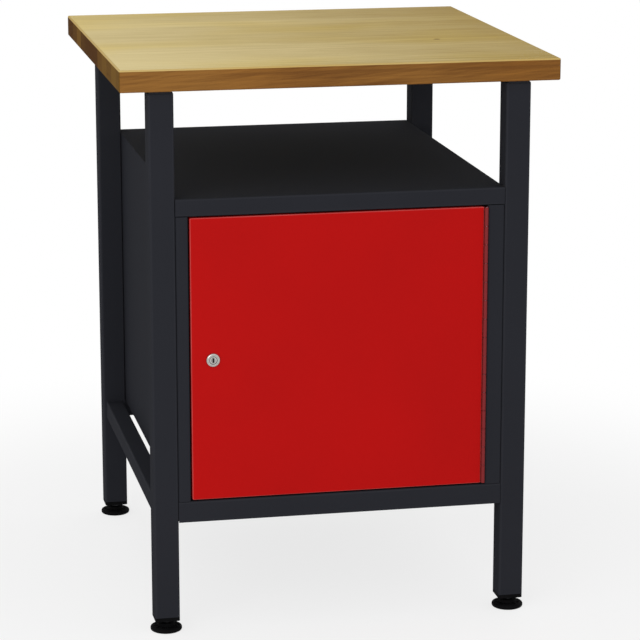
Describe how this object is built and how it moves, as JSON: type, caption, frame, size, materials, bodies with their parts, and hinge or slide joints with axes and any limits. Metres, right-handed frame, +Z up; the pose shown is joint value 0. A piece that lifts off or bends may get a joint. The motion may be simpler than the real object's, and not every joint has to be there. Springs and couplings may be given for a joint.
{
  "type": "workbench with cabinet",
  "caption": "Square workbench with a solid beech worktop on tube legs with levelling feet, an open bay, and a lockable sheet-metal cabinet with a hinged door.",
  "frame": {"origin": "on the floor, under the middle of the bench", "axes": "+Z up, front with the door towards -Y, +X to the right of someone facing the door"},
  "size_m": [0.7, 0.7, 0.9142],
  "materials": {
    "beech": "oiled, glued staves",
    "anthracite": "satin powder coat",
    "red": "satin powder coat",
    "black_plastic": "fine moulded grain",
    "black_rubber": "matt",
    "black_steel": "black oxide",
    "zinc": "zinc plated",
    "nickel": "nickel plated"
  },
  "bodies": {
    "frame": {"worktop": "beech", "leg_front_left": "anthracite", "leg_front_right": "anthracite", "leg_back_left": "anthracite", "leg_back_right": "anthracite", "top_bar_left": "anthracite", "top_bar_right": "anthracite", "worktop_screw_left_1": "zinc", "worktop_screw_left_2": "zinc", "worktop_screw_left_3": "zinc", "worktop_screw_right_1": "zinc", "worktop_screw_right_2": "zinc", "worktop_screw_right_3": "zinc", "rail_left": "anthracite", "rail_right": "anthracite", "rail_front": "anthracite", "rail_back": "anthracite", "leg_plug_front_left": "black_plastic", "leg_plug_front_right": "black_plastic", "leg_plug_back_left": "black_plastic", "leg_plug_back_right": "black_plastic", "cabinet_floor": "anthracite", "cabinet_side_left": "anthracite", "cabinet_side_right": "anthracite", "cabinet_back": "anthracite", "cabinet_top": "anthracite", "cabinet_bolt_front_left_lower": "zinc", "cabinet_bolt_front_left_upper": "zinc", "cabinet_bolt_front_right_lower": "zinc", "cabinet_bolt_front_right_upper": "zinc", "cabinet_bolt_back_left_lower": "zinc", "cabinet_bolt_back_left_upper": "zinc", "cabinet_bolt_back_right_lower": "zinc", "cabinet_bolt_back_right_upper": "zinc", "inner_shelf": "anthracite", "shelf_bracket_front_left": "zinc", "shelf_bracket_front_right": "zinc", "shelf_bracket_back_left": "zinc", "shelf_bracket_back_right": "zinc", "hinge_leaf_frame": "red", "hinge_pin": "zinc", "door_buffer_lower": "black_rubber", "door_buffer_upper": "black_rubber"},
    "door": {"door_panel": "red", "door_stiffener": "red", "hinge_leaf_door": "red", "lock_body": "nickel", "lock_nut": "zinc"},
    "lock": {"lock_plug": "nickel", "lock_cam": "zinc", "cam_screw": "zinc"},
    "foot_front_left": {"foot_pad_front_left": "black_plastic", "foot_stud_front_left": "black_steel"},
    "foot_front_right": {"foot_pad_front_right": "black_plastic", "foot_stud_front_right": "black_steel"},
    "foot_back_left": {"foot_pad_back_left": "black_plastic", "foot_stud_back_left": "black_steel"},
    "foot_back_right": {"foot_pad_back_right": "black_plastic", "foot_stud_back_right": "black_steel"}
  },
  "joints": [
    {"name": "door_hinge", "type": "hinge", "parent": "frame", "child": "door", "pos_m": [0.2347, -0.341, 0.45], "axis": [0, 0, 1], "range_deg": [0, 170]},
    {"name": "lock_turn", "type": "hinge", "parent": "door", "child": "lock", "pos_m": [-0.2075, -0.33, 0.44995], "axis": [0, 1, 0], "range_deg": [0, 90]},
    {"name": "foot_front_left_screw", "type": "slide", "parent": "frame", "child": "foot_front_left", "axis": [0, 0, 1], "range_m": [-0.02, 0]},
    {"name": "foot_front_right_screw", "type": "slide", "parent": "frame", "child": "foot_front_right", "axis": [0, 0, 1], "range_m": [-0.02, 0]},
    {"name": "foot_back_left_screw", "type": "slide", "parent": "frame", "child": "foot_back_left", "axis": [0, 0, 1], "range_m": [-0.02, 0]},
    {"name": "foot_back_right_screw", "type": "slide", "parent": "frame", "child": "foot_back_right", "axis": [0, 0, 1], "range_m": [-0.02, 0]}
  ]
}
